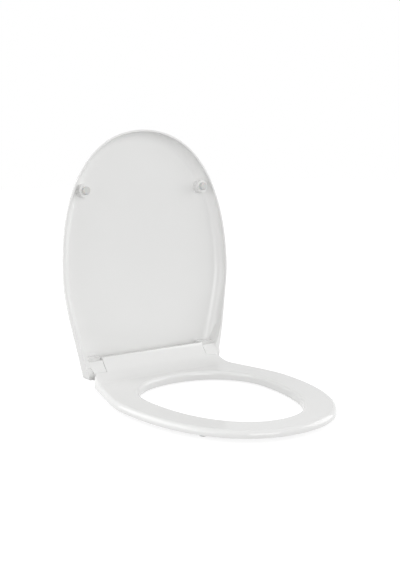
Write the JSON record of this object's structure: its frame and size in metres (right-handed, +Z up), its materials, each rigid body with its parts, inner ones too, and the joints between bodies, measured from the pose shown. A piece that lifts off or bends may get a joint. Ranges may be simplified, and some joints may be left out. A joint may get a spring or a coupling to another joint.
{
  "type": "toilet seat",
  "caption": "White oval toilet seat with a closed ring and a dished lid on a rear hinge, soft stops under both, and hinge posts that bolt to the pan.",
  "frame": {"origin": "midway between the two fixing holes, on the plane of the pan's rim", "axes": "+X along the hinge, to the right seen from the front; the front of the seat points to -Y; +Z up"},
  "size_m": [0.3686, 0.4953, 0.4798],
  "materials": {
    "white_moulding": "smooth white moulding with a high gloss",
    "hinge_plastic": "satin white engineering plastic",
    "pad_rubber": "soft pale grey pad",
    "stop_rubber": "soft milky grey stop",
    "pin_steel": "bright drawn steel",
    "insert_brass": "turned brass"
  },
  "bodies": {
    "hinge": {"hinge_post_left": "hinge_plastic", "hinge_post_right": "hinge_plastic", "post_pad_left": "pad_rubber", "post_pad_right": "pad_rubber", "fixing_insert_left": "insert_brass", "fixing_insert_right": "insert_brass", "hinge_pin_left": "pin_steel", "hinge_pin_right": "pin_steel"},
    "seat": {"seat_ring": "white_moulding", "ring_buffer_front_left": "stop_rubber", "ring_buffer_front_right": "stop_rubber", "ring_buffer_rear_left": "stop_rubber", "ring_buffer_rear_right": "stop_rubber", "seat_bush_left": "hinge_plastic", "seat_bush_right": "hinge_plastic"},
    "lid": {"lid": "white_moulding", "lid_buffer_left": "stop_rubber", "lid_buffer_right": "stop_rubber", "lid_bush_left": "hinge_plastic", "lid_bush_right": "hinge_plastic"}
  },
  "joints": [
    {"name": "seat_hinge", "type": "hinge", "parent": "hinge", "child": "seat", "pos_m": [0, 0.0105, 0.029], "axis": [-1, 0, 0], "range_deg": [0, 90]},
    {"name": "lid_hinge", "type": "hinge", "parent": "seat", "child": "lid", "pos_m": [0, 0.0105, 0.029], "axis": [1, 0, 0], "range_deg": [0, 93.7]}
  ]
}
